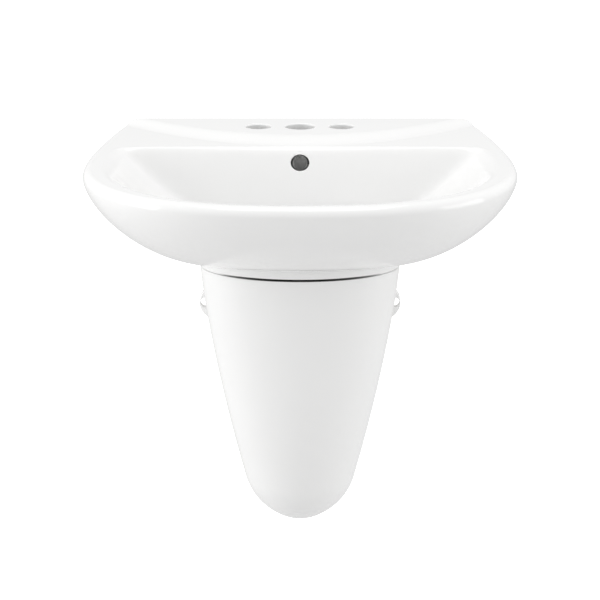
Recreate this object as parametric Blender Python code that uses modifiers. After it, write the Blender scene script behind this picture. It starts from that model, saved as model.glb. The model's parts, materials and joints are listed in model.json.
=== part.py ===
"""A wall-hung washbasin on a half pedestal, with its push-button waste, trap and wall bolts.

Metres, +Z up. The wall is the plane y = 0, the basin's front faces -Y, and z = 0 is the height of
the two wall bolts. "Drop" means the distance below the tap deck.
"""

import math

import bmesh
import bpy
import numpy as np
from mathutils import Vector

# Driving dimensions
WIDTH, DEPTH, BACK_WIDTH = 0.494, 0.447, 0.426
WIDEST = 0.226  # from the wall to the widest section
DECK_Z = 0.070  # tap deck above the wall bolts
WALL = 0.010  # ceramic thickness
DECK_THICK = 0.018  # from the tap deck to the hollow under it
FIT_GAP = 0.0003  # clearance between pieces that touch

# Rim and tap deck
RIM_POWER = 2.35  # superellipse exponent of the front half
RIM_DROP = 0.006  # rim below the tap deck
EDGE_ROUND, BACK_ROUND = 0.010, 0.003
EDGE_GROWS = 0.150  # how far from the wall the edge takes to reach its full rounding
LEDGE_REACH, LEDGE_HALF = 0.101, 0.197  # tap ledge: depth on the centre line, and half-width
LEDGE_FALL = 0.040  # run of the slope in front of the ledge
TAP_HOLES = ((-0.0508, 0.015), (0.0, 0.018), (0.0508, 0.015))  # x, radius
TAP_LINE = 0.053  # from the wall

# Bowl
BOWL_BACK = 0.146  # from the wall to the top of the bowl's back slope
BACK_SLOPE = 0.20  # run over fall of that slope
BOWL_HALF, BOWL_FRONT, BOWL_REAR = 0.218, 0.2015, 0.219  # semi-axes about the widest section
BOWL_DEPTH = 0.115
LIP_START, LIP_ROUND = 0.955, 0.008  # where the rounded lip begins and how far out it goes
DRAIN_Y = -0.204
DRAIN_R, RECESS_R, BOSS_R = 0.023, 0.0320, 0.034
FLOOR_DROP, BOSS_DROP = 0.121, 0.160
OVERFLOW_R, OVERFLOW_DROP = 0.011, 0.024
CHANNEL_R, DUCT_R = 0.0075, 0.0155

# Collar under the apron and the half pedestal that stands below it
COLLAR_DROP = 0.139
COLLAR_HALF, COLLAR_SIDE, COLLAR_DEPTH = 0.118, 0.178, 0.252
COLLAR_FRONT, COLLAR_BACK = 0.014, 0.004  # height of its upright band
APRON_POWER = 1.45  # superellipse exponent of the apron's fall from the rim to the collar
SHROUD_TOP, SHROUD_BOTTOM = 0.141, 0.494  # drops
SHROUD_WALL = 0.009
SHROUD_TAPER, TAPER_POWER = 0.0693, 1.26  # how much half-width it loses, and how late
SHROUD_TUCK, TUCK_POWER = 0.0834, 2.67  # how much depth it loses, and how late
SHROUD_END = 0.0752  # height of its rounded end
END_HALF, END_DEPTH = 0.08, 0.52  # shares of the half-width and the depth left at its bottom
EAR_DROP, EAR_OUT, EAR_HALF_HEIGHT, EAR_THICK = 0.238, 0.0244, 0.025, 0.010
EAR_HOLE_X, EAR_HOLE_R = 0.1207, 0.0064

# Wall bolts
BOLT_X, BOLT_R, BOLT_HOLE_R = 0.140, 0.005, 0.008
BOLT_IN_WALL, BOLT_OUT = 0.060, 0.046

# Waste and trap
TUBE_R, TUBE_WALL = 0.0159, 0.0012
WASTE_R, WASTE_BORE = 0.0205, 0.0172
STOPPER_TRAVEL = 0.009
TRAP_RADIUS = 0.038
TRAP_DROP = 0.300  # height of the trap bend's centre
ARM_DROP = 0.224  # height of the trap arm's centre line

STEPS, BOLT_STEPS = 28, 16  # around a turned piece


def z_at(drop):
    return DECK_Z - drop


# ---------------------------------------------------------------- scene

def clear_scene():
    for obj in list(bpy.data.objects):
        bpy.data.objects.remove(obj)


def new_collection(name, hidden=False):
    collection = bpy.data.collections.new(name)
    collection.hide_render = hidden
    bpy.context.scene.collection.children.link(collection)
    return collection


def material(name, colour, roughness, metallic=0.0):
    made = bpy.data.materials.new(name)
    made.use_nodes = True
    shader = made.node_tree.nodes["Principled BSDF"]
    shader.inputs["Base Color"].default_value = (*colour, 1.0)
    shader.inputs["Roughness"].default_value = roughness
    shader.inputs["Metallic"].default_value = metallic
    made.diffuse_color = (*colour, 1.0)
    return made


def add_object(name, data, mat=None):
    """A part when it has a material, and otherwise a cutter."""
    obj = bpy.data.objects.new(name, data)
    if mat:
        data.materials.append(mat)
        parts.objects.link(obj)
    else:
        obj.hide_render = True
        obj.display_type = "WIRE"
        cutters.objects.link(obj)
    return obj


def add_bmesh(name, bm, mat=None):
    bmesh.ops.recalc_face_normals(bm, faces=bm.faces)
    mesh = bpy.data.meshes.new(name)
    bm.to_mesh(mesh)
    bm.free()
    return add_object(name, mesh, mat)


def boolean(obj, operation, other):
    modifier = obj.modifiers.new(operation.title() + " " + other.name, "BOOLEAN")
    modifier.operation = operation
    modifier.object = other


# ---------------------------------------------------------------- shapes

def turned(name, profile, mat, location=(0, 0, 0), rotation=(0, 0, 0), closed=False, steps=STEPS):
    """A profile of (radius, height) turned about Z: outer side top to bottom. closed makes it a ring."""
    mesh = bpy.data.meshes.new(name)
    edges = [(i, i + 1) for i in range(len(profile) - 1)]
    if closed:
        edges.append((len(profile) - 1, 0))
    mesh.from_pydata([(r, 0.0, z) for r, z in profile], edges, [])
    obj = add_object(name, mesh, mat)
    screw = obj.modifiers.new("Screw", "SCREW")
    screw.steps = screw.render_steps = steps
    screw.use_merge_vertices = True
    screw.merge_threshold = 0.00001
    obj.location = location
    obj.rotation_euler = rotation
    return obj


def ring(name, outer, inner, top, bottom, mat, location=(0, 0, 0), rotation=(0, 0, 0)):
    profile = [(outer, top), (outer, bottom), (inner, bottom), (inner, top)]
    return turned(name, profile, mat, location, rotation, closed=True)


def cylinder(name, radius, length, location, axis="Z", mat=None, segments=32):
    bm = bmesh.new()
    bmesh.ops.create_cone(
        bm, cap_ends=True, segments=segments, radius1=radius, radius2=radius, depth=length
    )
    obj = add_bmesh(name, bm, mat)
    obj.location = location
    if axis == "Y":
        obj.rotation_euler = (math.pi / 2, 0, 0)
    return obj


def box(name, size, location, rotation=(0, 0, 0)):
    bm = bmesh.new()
    bmesh.ops.create_cube(bm, size=1.0)
    bmesh.ops.scale(bm, vec=size, verts=bm.verts)
    obj = add_bmesh(name, bm)
    obj.location = location
    obj.rotation_euler = rotation
    return obj


def nut(name, across, height, bore, location, axis="Z", mat=None, sides=6, chamfer=0.0008):
    """A nut with its bore, centred on location."""
    obj = cylinder(name, across / 2 / math.cos(math.pi / sides), height, location, axis, mat, sides)
    bevel = obj.modifiers.new("Edges", "BEVEL")
    bevel.width = chamfer
    bevel.segments = 1
    bevel.limit_method = "ANGLE"
    bevel.angle_limit = math.radians(80)
    boolean(obj, "DIFFERENCE", cylinder(name + "_bore", bore, height * 2, location, axis))
    return obj


def rod(name, points, radius, resolution=3, mat=None):
    """A mesh made from a bevelled curve with filled caps."""
    curve = bpy.data.curves.new(name + "_curve", "CURVE")
    curve.dimensions = "3D"
    curve.bevel_depth = radius
    curve.bevel_resolution = resolution
    curve.use_fill_caps = True
    spline = curve.splines.new("POLY")
    spline.points.add(len(points) - 1)
    for point, place in zip(spline.points, points):
        point.co = (*place, 1.0)
    guide = bpy.data.objects.new(name + "_curve", curve)
    cutters.objects.link(guide)
    bpy.context.view_layer.update()
    graph = bpy.context.evaluated_depsgraph_get()
    mesh = bpy.data.meshes.new_from_object(guide.evaluated_get(graph))
    bpy.data.objects.remove(guide)
    bm = bmesh.new()
    bm.from_mesh(mesh)
    bpy.data.meshes.remove(mesh)
    bmesh.ops.remove_doubles(bm, verts=bm.verts, dist=0.00001)
    return add_bmesh(name, bm, mat)


def lengthened(points, by):
    """The same path run on past both of its ends."""
    first, second, before, last = (Vector(points[i]) for i in (0, 1, -2, -1))
    start = first + (first - second).normalized() * by
    end = last + (last - before).normalized() * by
    return [start, *points, end]


def tube(name, points, radius, wall, mat):
    obj = rod(name, points, radius, mat=mat)
    boolean(obj, "DIFFERENCE", rod(name + "_bore", lengthened(points, 0.01), radius - wall))
    return obj


def arc_yz(centre_y, centre_z, radius, start, end, count=10):
    """Points of an arc in the plane x = 0, with angles in degrees from +Y towards +Z."""
    angles = np.radians(np.linspace(start, end, count))
    return [(0.0, centre_y + radius * math.cos(a), centre_z + radius * math.sin(a)) for a in angles]


def loft(name, rings, mat=None):
    """A closed body through rings with the same number of points, capped at both ends."""
    bm = bmesh.new()
    rows = [[bm.verts.new(point) for point in ring_points] for ring_points in rings]
    for lower, upper in zip(rows, rows[1:]):
        for i in range(len(lower)):
            j = (i + 1) % len(lower)
            bm.faces.new((lower[i], lower[j], upper[j], upper[i]))
    caps = [bm.faces.new(rows[0][::-1]), bm.faces.new(rows[-1])]
    bmesh.ops.triangulate(bm, faces=caps)
    return add_bmesh(name, bm, mat)


# ---------------------------------------------------------------- basin

def plan_outline(back_half, half, widest, depth, power, back=14, side=8, front=34):
    """A D in plan, from the left wall corner along the wall and round the front, as an array of x, y."""
    points = [(x, 0.0) for x in np.linspace(-back_half, back_half, back, endpoint=False)]
    flank = [
        (back_half + (half - back_half) * math.sin(math.pi / 2 * t), -widest * t)
        for t in np.linspace(0, 1, side, endpoint=False)
    ]
    points += flank
    for t in np.linspace(0, math.pi, front + 1):
        c, s = math.cos(t), math.sin(t)
        x = half * math.copysign(abs(c) ** (2 / power), c)
        points.append((x, -widest - (depth - widest) * abs(s) ** (2 / power)))
    points += [(-x, y) for x, y in flank[:0:-1]]
    return np.array(points)


def inward(outline):
    """The unit normal at each point of a plan outline, pointing to its inside."""
    along = np.roll(outline, -1, axis=0) - np.roll(outline, 1, axis=0)
    normal = np.stack([along[:, 1], -along[:, 0]], axis=1)
    return normal / np.linalg.norm(normal, axis=1, keepdims=True)


def ease(t):
    t = np.clip(t, 0.0, 1.0)
    return t * t * (3 - 2 * t)


def ledge_height(x, y):
    """Height of the top face: 0 on the tap ledge, falling to the rim in front of it."""
    bow = -LEDGE_REACH * (1 - (x / LEDGE_HALF) ** 2)
    return -RIM_DROP * ease((bow - y) / LEDGE_FALL)


def bowl_reach(direction):
    """Distance from the drain, in a plan direction, to the superellipse that bounds the bowl."""
    low, high = 0.0, 0.6
    for _ in range(40):
        reach = (low + high) / 2
        x = direction[0] * reach
        y = DRAIN_Y + direction[1] * reach + WIDEST
        semi = BOWL_REAR if y > 0 else BOWL_FRONT
        if (abs(x) / BOWL_HALF) ** RIM_POWER + (abs(y) / semi) ** RIM_POWER < 1:
            low = reach
        else:
            high = reach
    return low


def bowl_radius(direction, share):
    """(radius, drop) of the bowl where its round part has shrunk to this share of its rim."""
    drop = RIM_DROP + BOWL_DEPTH * (1 - share * share)
    radius = bowl_reach(direction) * share
    if direction[1] > 0.02:
        slope_y = -BOWL_BACK - BACK_SLOPE * (drop - RIM_DROP)
        flat = (slope_y - DRAIN_Y) / direction[1]
        radius = (radius ** -14 + flat ** -14) ** (-1 / 14)
    return radius, drop


BOWL_SHARES = (LIP_START, 0.9, 0.84, 0.77, 0.69, 0.6, 0.5, 0.4, 0.3)


def bowl_rings(directions):
    """Rings down the bowl from its lip to the edge of the drain's recess."""
    rings = []
    for share in BOWL_SHARES:
        levels = [bowl_radius(d, share) for d in directions]
        rings.append([(d[0] * r, DRAIN_Y + d[1] * r, z_at(drop)) for d, (r, drop) in zip(directions, levels)])
    floor = RIM_DROP + BOWL_DEPTH * (1 - (RECESS_R / 0.21) ** 2)
    rings.append([(d[0] * RECESS_R, DRAIN_Y + d[1] * RECESS_R, z_at(floor)) for d in directions])
    return np.array(rings)


def lip_rings(directions, count=3):
    """Rings over the rounded lip, from the bowl's side to the flat rim and tangent to both."""
    rings = []
    for t in np.linspace(0, 1, count + 1)[1:]:
        near, middle, far = (1 - t) ** 2, 2 * t * (1 - t), t * t
        points = []
        for d in directions:
            (below, drop), (edge, _) = bowl_radius(d, LIP_START), bowl_radius(d, 1.0)
            radius = near * below + middle * edge + far * (edge + LIP_ROUND)
            x, y = d[0] * radius, DRAIN_Y + d[1] * radius
            points.append((x, y, z_at(near * drop + middle * RIM_DROP) + far * ledge_height(x, y)))
        rings.append(points)
    return rings


def apron_rings(rim, foot, start_drop, count=9):
    """Rings from the rim's edge in to the collar, along quarter superellipses."""
    band = collar_band(foot)
    rings = []
    for t in np.linspace(0, 1, count):
        out, down = (abs(f(t * math.pi / 2)) ** (2 / APRON_POWER) for f in (math.cos, math.sin))
        plan = foot + (rim - foot) * out
        drops = start_drop + (COLLAR_DROP - band - start_drop) * down
        rings.append([(x, y, z_at(drop)) for (x, y), drop in zip(plan, drops)])
    return rings


def collar_band(foot):
    """Height of the collar's upright band at each point of its outline."""
    forward = np.clip((-foot[:, 1] - COLLAR_SIDE) / (COLLAR_DEPTH - COLLAR_SIDE), 0, 1)
    return COLLAR_BACK + (COLLAR_FRONT - COLLAR_BACK) * forward


def surface_normals(rings):
    """Unit normals of a grid of rings, by central differences."""
    around = np.roll(rings, -1, axis=1) - np.roll(rings, 1, axis=1)
    down = np.gradient(rings, axis=0)
    normal = np.cross(around, down)
    return normal / np.linalg.norm(normal, axis=2, keepdims=True)


def at_height(plan, z):
    return np.column_stack([plan, np.full(len(plan), z)])


def make_basin(mat):
    rim = plan_outline(BACK_WIDTH / 2, WIDTH / 2, WIDEST, DEPTH, RIM_POWER)
    foot = plan_outline(COLLAR_HALF, COLLAR_HALF, COLLAR_SIDE, COLLAR_DEPTH, 2.0)
    normal = inward(rim)
    rounding = BACK_ROUND + (EDGE_ROUND - BACK_ROUND) * ease(-rim[:, 1] / EDGE_GROWS)[:, None]
    centre = np.array([0.0, DRAIN_Y])
    away = rim - centre
    directions = away / np.linalg.norm(away, axis=1, keepdims=True)

    bowl = bowl_rings(directions)
    rings = [*bowl[::-1], *lip_rings(directions)]
    inner, outer = np.array(rings[-1])[:, :2], rim + normal * rounding
    for share in (0.15, 0.3, 0.45, 0.65, 1.0):
        plan = inner + (outer - inner) * share
        rings.append([(x, y, z_at(0) + ledge_height(x, y)) for x, y in plan])
    for turn in (30, 60):
        angle = math.radians(turn)
        plan = rim + normal * rounding * (1 - math.sin(angle))
        fall = (rounding * (1 - math.cos(angle)))[:, 0]
        rings.append([(x, y, z_at(f) + ledge_height(x, y)) for (x, y), f in zip(plan, fall)])
    apron = apron_rings(rim, foot, RIM_DROP + EDGE_ROUND)
    rings += apron
    rings.append(at_height(foot, z_at(COLLAR_DROP)))
    basin = loft("basin", rings, mat)

    boolean(basin, "DIFFERENCE", make_hollow(np.array(apron), foot, bowl))
    boolean(basin, "UNION", rod("overflow_duct", channel_path()[1:-1], DUCT_R))
    boss_top = z_at(FLOOR_DROP)
    boss_mid = (boss_top + z_at(BOSS_DROP)) / 2
    boss = cylinder("drain_boss", BOSS_R, boss_top - z_at(BOSS_DROP), (0, DRAIN_Y, boss_mid), segments=36)
    boolean(basin, "UNION", boss)
    recess = cylinder("drain_recess", RECESS_R - 0.001, 0.012, (0, DRAIN_Y, boss_top + 0.006), segments=36)
    boolean(basin, "DIFFERENCE", recess)
    boolean(basin, "DIFFERENCE", cylinder("drain_hole", DRAIN_R, 0.12, (0, DRAIN_Y, boss_mid), segments=36))
    boolean(basin, "DIFFERENCE", rod("overflow_channel", channel_path(), CHANNEL_R))
    boolean(basin, "DIFFERENCE", overflow_mouth())
    for i, (x, radius) in enumerate(TAP_HOLES):
        cutter = cylinder("tap_hole_" + str(i), radius, 0.06, (x, -TAP_LINE, DECK_Z))
        boolean(basin, "DIFFERENCE", cutter)
    for side in (-1, 1):
        cutter = cylinder("bolt_hole_" + str(side), BOLT_HOLE_R, 0.05, (side * BOLT_X, 0, 0), "Y")
        boolean(basin, "DIFFERENCE", cutter)


def make_hollow(apron, foot, bowl):
    """The space inside the casting: the apron's inner face less the backed bowl, open underneath."""
    inner = apron - surface_normals(apron) * WALL
    inner[:, :, 1] = np.minimum(inner[:, :, 1], -WALL)
    inner[0, :, 2] = z_at(DECK_THICK)
    collar = foot + inward(foot) * WALL
    rings = [*inner[:-1], at_height(collar, z_at(COLLAR_DROP - COLLAR_FRONT))]
    rings.append(at_height(collar, z_at(COLLAR_DROP + 0.01)))
    hollow = loft("hollow", rings)
    backing = bowl + surface_normals(bowl) * WALL
    top = bowl[0].copy()
    top[:, :2] = backing[0][:, :2]
    top[:, 2] = z_at(-0.01)
    boolean(hollow, "DIFFERENCE", loft("bowl_backing", [top, *backing]))
    return hollow


def channel_path():
    """The overflow channel: in at the bowl's back slope, down behind it and forward to the drain."""
    steps = ((0.147, 0.024), (0.134, 0.028), (0.129, 0.042), (0.132, 0.070), (0.141, 0.100),
             (0.155, 0.125), (0.168, 0.138), (0.181, 0.141), (0.195, 0.141))
    return [(0.0, -y, z_at(drop)) for y, drop in steps]


def overflow_mouth():
    """The round hole square to the bowl's back slope."""
    y = -BOWL_BACK - BACK_SLOPE * (OVERFLOW_DROP - RIM_DROP)
    mouth = cylinder("overflow_mouth", OVERFLOW_R, 0.024, (0, y + 0.004, z_at(OVERFLOW_DROP)))
    mouth.rotation_euler = (math.pi / 2 - math.atan(BACK_SLOPE), 0, 0)
    return mouth


# ---------------------------------------------------------------- half pedestal

def shroud_section(drop, inset=0.0):
    """Plan outline of the half pedestal at this drop, moved in by inset."""
    t = (drop - SHROUD_TOP) / (SHROUD_BOTTOM - SHROUD_TOP)
    half = COLLAR_HALF - SHROUD_TAPER * t ** TAPER_POWER
    depth = COLLAR_DEPTH - SHROUD_TUCK * t ** TUCK_POWER
    end = min(max((drop - SHROUD_BOTTOM + SHROUD_END) / SHROUD_END, 0.0), 1.0)
    left = math.sqrt(1 - end * end)
    half = half * (END_HALF + (1 - END_HALF) * left) - inset
    depth = depth * (END_DEPTH + (1 - END_DEPTH) * left) - inset
    side = depth * COLLAR_SIDE / COLLAR_DEPTH
    return plan_outline(half, half, side, depth, 2.0, back=8, side=5, front=28)


def make_half_pedestal(mat):
    body = [SHROUD_TOP + (SHROUD_BOTTOM - SHROUD_END - SHROUD_TOP) * t for t in np.linspace(0, 1, 9)]
    end = [SHROUD_BOTTOM - SHROUD_END * (1 - math.sin(math.radians(a))) for a in (18, 36, 54, 72, 90)]
    rings = [at_height(shroud_section(drop), z_at(drop)) for drop in body + end]
    pedestal = loft("half_pedestal", rings, mat)
    for side, name in ((-1, "left"), (1, "right")):
        boolean(pedestal, "UNION", make_ear(side, name))
    inside = []
    for drop in body + end:
        section = shroud_section(drop, SHROUD_WALL)
        if section[0, 0] > -0.004:  # too narrow to hollow out
            break
        section[section[:, 1] > -0.0001, 1] = 0.02
        inside.append(at_height(section, z_at(drop) + SHROUD_WALL))
    boolean(pedestal, "DIFFERENCE", loft("pedestal_inside", inside))
    for side, name in ((-1, "left"), (1, "right")):
        place = (side * EAR_HOLE_X, 0, z_at(EAR_DROP))
        boolean(pedestal, "DIFFERENCE", cylinder("ear_hole_" + name, EAR_HOLE_R, 0.05, place, "Y"))


def make_ear(side, name):
    """A flat fixing ear against the wall: a half ellipse standing out of the pedestal's side."""
    root = shroud_section(EAR_DROP)[:, 0].max() - 0.004
    bm = bmesh.new()
    bmesh.ops.create_cone(bm, cap_ends=True, segments=36, radius1=1, radius2=1, depth=EAR_THICK)
    bmesh.ops.scale(bm, vec=(EAR_OUT + 0.004, EAR_HALF_HEIGHT, 1), verts=bm.verts)
    ear = add_bmesh("ear_" + name, bm)
    ear.rotation_euler = (math.pi / 2, 0, 0)
    ear.location = (side * root, -EAR_THICK / 2, z_at(EAR_DROP))
    return ear


# ---------------------------------------------------------------- waste

def make_waste(brass, chrome, rubber, plastic):
    at = (0, DRAIN_Y, 0)
    seat = z_at(FLOOR_DROP) + FIT_GAP
    flange = seat + 0.0015 + FIT_GAP
    ring("flange_gasket", 0.028, 0.0235, seat + 0.0015, seat, rubber, at)
    bottom = z_at(BOSS_DROP) - 0.032
    profile = [(0.0300, flange + 0.0012), (0.0300, flange), (WASTE_R, flange), (WASTE_R, bottom),
               (WASTE_BORE, bottom), (WASTE_BORE, flange - 0.004), (0.0215, flange + 0.0022),
               (0.0280, flange + 0.0026)]
    body = turned("waste_body", profile, chrome, at, closed=True)
    slot_z = z_at(0.141)
    slot = box("overflow_slots", (0.010, 0.06, 0.012), (0, DRAIN_Y, slot_z))
    boolean(body, "DIFFERENCE", slot)

    under = z_at(BOSS_DROP) - FIT_GAP
    gasket = [(0.033, under), (0.030, under - 0.006), (WASTE_R + FIT_GAP, under - 0.006),
              (WASTE_R + FIT_GAP, under)]
    turned("seat_gasket", gasket, rubber, at, closed=True)
    washer_top = under - 0.006 - FIT_GAP
    ring("friction_washer", 0.031, WASTE_R + FIT_GAP, washer_top, washer_top - 0.0015, plastic, at)
    nut_top = washer_top - 0.0015 - FIT_GAP
    nut("waste_locknut", 0.054, 0.009, WASTE_R + FIT_GAP, (0, DRAIN_Y, nut_top - 0.0045), mat=brass)
    make_latch(plastic, chrome, rubber, at, flange)
    return bottom


def make_latch(plastic, chrome, rubber, at, flange):
    """The push-to-open latch, with the stopper shown raised."""
    top = flange - 0.010
    low = top - 0.026
    core = [(0.0075, top), (0.0075, top - 0.004), (0.0090, top - 0.005), (0.0090, low),
            (0.0018, low), (0.0018, low + 0.002), (0.0058, low + 0.002), (0.0058, top)]
    cartridge = turned("latch_cartridge", core, plastic, at, closed=True)
    for i in range(3):
        turn = math.radians(30 + 120 * i)
        middle = (0.0125 * math.cos(turn), DRAIN_Y + 0.0125 * math.sin(turn), low + 0.004)
        boolean(cartridge, "UNION", box("latch_arm_" + str(i), (0.0088, 0.0022, 0.006), middle, (0, 0, turn)))

    pivot = (0, DRAIN_Y, 0)
    cap_z = flange + 0.0026 + STOPPER_TRAVEL + 0.0014
    cap = [(0, cap_z + 0.0052), (0.012, cap_z + 0.0048), (0.0215, cap_z + 0.0036), (0.0252, cap_z + 0.0022),
           (0.0262, cap_z + 0.0008), (0.0258, cap_z), (0.0205, cap_z), (0.0175, cap_z - 0.0030),
           (0.0105, cap_z - 0.0030), (0, cap_z - 0.0030)]
    turned("stopper_cap", cap, chrome, pivot)
    ring("stopper_seal", 0.0235, 0.0206 + FIT_GAP, cap_z - FIT_GAP, cap_z - 0.0015, rubber, pivot)
    stem_top = cap_z - 0.0030 - FIT_GAP
    stem_low = top - 0.003
    stem = [(0, stem_top), (0.0048, stem_top), (0.0048, stem_low), (0, stem_low)]
    turned("stopper_plunger", stem, plastic, pivot)

    floor, ceiling, wire, turns, per_turn = low + 0.0027, stem_low - 0.0009, 0.0005, 6, 12
    count = turns * per_turn
    coil = [
        (0.0042 * math.cos(2 * math.pi * i / per_turn), DRAIN_Y + 0.0042 * math.sin(2 * math.pi * i / per_turn),
         floor + (ceiling - floor) * i / count)
        for i in range(count + 1)
    ]
    rod("stopper_spring", coil, wire, resolution=1, mat=chrome)


# ---------------------------------------------------------------- trap

def make_trap(waste_bottom, brass, chrome, rubber):
    in_y, out_y = DRAIN_Y, DRAIN_Y + 2 * TRAP_RADIUS
    hub_in, hub_out = z_at(0.262), z_at(0.278)
    hub_r, hub_wall = 0.0190, 0.0022
    tail = [(0, in_y, waste_bottom + 0.012), (0, in_y, hub_in - 0.022)]
    tube("tailpiece", tail, TUBE_R, TUBE_WALL, chrome)

    bend = [(0, in_y, hub_in), (0, in_y, z_at(TRAP_DROP))]
    bend += arc_yz((in_y + out_y) / 2, z_at(TRAP_DROP), TRAP_RADIUS, 180, 360, 17)[1:]
    bend.append((0, out_y, hub_out))
    trap = tube("trap_bend", bend, hub_r, hub_wall, chrome)
    lowest = z_at(TRAP_DROP) - TRAP_RADIUS - hub_r
    middle_y = (in_y + out_y) / 2
    boolean(trap, "UNION", cylinder("cleanout_seat", 0.0100, 0.006, (0, middle_y, lowest), segments=24))
    boolean(trap, "DIFFERENCE", cylinder("cleanout_hole", 0.0062, 0.02, (0, middle_y, lowest)))
    under = lowest - 0.003 - FIT_GAP
    ring("cleanout_gasket", 0.0095, 0.0064, under, under - 0.0015, rubber, (0, middle_y, 0))
    head = under - 0.0015 - FIT_GAP
    plug = [(0, head + 0.010), (0.0059, head + 0.010), (0.0059, head), (0.0100, head), (0.0100, head - 0.003),
            (0.0060, head - 0.003), (0.0060, head - 0.008), (0, head - 0.008)]
    turned("cleanout_plug", plug, brass, (0, middle_y, 0))

    bend_z = z_at(ARM_DROP)
    arm = [(0, out_y, hub_out - 0.020), (0, out_y, bend_z - TRAP_RADIUS)]
    arm += arc_yz(out_y + TRAP_RADIUS, bend_z - TRAP_RADIUS, TRAP_RADIUS, 180, 90, 9)[1:]
    arm.append((0, -FIT_GAP, bend_z))
    tube("trap_arm", arm, TUBE_R, TUBE_WALL, chrome)
    flange = [(0.017, -0.001), (0.017, 0.011), (0.021, 0.011), (0.034, 0.004), (0.037, 0.0), (0.037, -0.001)]
    escutcheon = [(r, -z - 0.001) for r, z in flange[::-1]]
    turned("wall_escutcheon", escutcheon, chrome, (0, 0, bend_z), (-math.pi / 2, 0, 0), closed=True)

    for name, y, top in (("inlet", in_y, hub_in), ("outlet", out_y, hub_out)):
        washer = [(0.0178, top + 0.006), (hub_r, top + FIT_GAP), (TUBE_R + FIT_GAP, top + FIT_GAP),
                  (TUBE_R + FIT_GAP, top + 0.006)]
        turned("trap_" + name + "_washer", washer, rubber, (0, y, 0), closed=True)
        slip_nut("trap_" + name + "_nut", y, top, hub_r, chrome)


def slip_nut(name, y, top, hub_r, mat):
    """A slip-joint nut: a skirt over the hub, a shoulder over the washer and eight finger ribs."""
    skirt, shoulder = hub_r + FIT_GAP, TUBE_R + 2 * FIT_GAP
    roof = top + 0.006 + FIT_GAP
    profile = [(0.0195, roof + 0.0022), (0.0218, roof + 0.0004), (0.0218, top - 0.014), (skirt, top - 0.014),
               (skirt, roof), (shoulder, roof), (shoulder, roof + 0.0022)]
    obj = turned(name, profile, mat, (0, y, 0), closed=True)
    for i in range(8):
        turn = math.radians(22.5 + 45 * i)
        middle = (0.0221 * math.cos(turn), y + 0.0221 * math.sin(turn), top - 0.004)
        boolean(obj, "UNION", box(name + "_rib_" + str(i), (0.003, 0.004, 0.018), middle, (0, 0, turn)))


# ---------------------------------------------------------------- wall bolts

def make_wall_bolts(steel, plastic):
    for side, name in ((-1, "left"), (1, "right")):
        place = (side * BOLT_X, 0, 0)
        tip, core = BOLT_R * 0.5, BOLT_R * 0.86
        thread = [(0, BOLT_IN_WALL), (tip, BOLT_IN_WALL - 0.004)]
        for i in range(8):
            z = BOLT_IN_WALL - 0.007 - 0.0055 * i
            thread += [(BOLT_R, z), (core, z - 0.0022)]
        thread += [(BOLT_R, 0.010), (BOLT_R, -BOLT_OUT + 0.001), (BOLT_R - 0.001, -BOLT_OUT), (0, -BOLT_OUT)]
        out_of_wall = (-math.pi / 2, 0, 0)
        turned("hanger_bolt_" + name, thread, steel, place, out_of_wall, steps=BOLT_STEPS)
        bush = [(0.0155, -WALL - 0.003), (0.0155, -WALL - FIT_GAP * 3), (BOLT_HOLE_R - FIT_GAP, -WALL - FIT_GAP * 3),
                (BOLT_HOLE_R - FIT_GAP, -0.001), (BOLT_R + FIT_GAP, -0.001), (BOLT_R + FIT_GAP, -WALL - 0.003)]
        turned("bolt_bush_" + name, bush[::-1], plastic, place, out_of_wall, closed=True)
        washer = -WALL - 0.003 - FIT_GAP
        ring("bolt_washer_" + name, 0.0125, BOLT_R + FIT_GAP, washer, washer - 0.002, steel, place, out_of_wall)
        centre = washer - 0.002 - FIT_GAP - 0.004
        nut("bolt_nut_" + name, 0.017, 0.008, BOLT_R + FIT_GAP, (side * BOLT_X, centre, 0), "Y", steel)


# ---------------------------------------------------------------- build

clear_scene()
parts = new_collection("Half-pedestal washbasin")
cutters = new_collection("Cutters", hidden=True)

china = material("white_china", (0.86, 0.86, 0.85), 0.08)
chrome_plate = material("chrome_plate", (0.80, 0.80, 0.82), 0.12, 1.0)
brass_metal = material("brass", (0.72, 0.55, 0.27), 0.35, 1.0)
zinc_steel = material("zinc_steel", (0.62, 0.63, 0.65), 0.35, 1.0)
black_rubber = material("black_rubber", (0.03, 0.03, 0.03), 0.75)
white_nylon = material("white_nylon", (0.82, 0.81, 0.77), 0.45)

make_basin(china)
make_half_pedestal(china)
tail_top = make_waste(brass_metal, chrome_plate, black_rubber, white_nylon)
make_trap(tail_top, brass_metal, chrome_plate, black_rubber)
make_wall_bolts(zinc_steel, white_nylon)
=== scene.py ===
"""A wall-hung washbasin on a half pedestal, finished in glazed china, with its waste, trap and wall bolts.

Metres, +Z up. The wall is the plane y = 0, the basin's front faces -Y, and z = 0 is the height of
the two wall bolts. "Drop" means the distance below the tap deck. Pieces are named after the CAD
node that they stand for, with "finished_" before it.
"""

import json
import math

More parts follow.
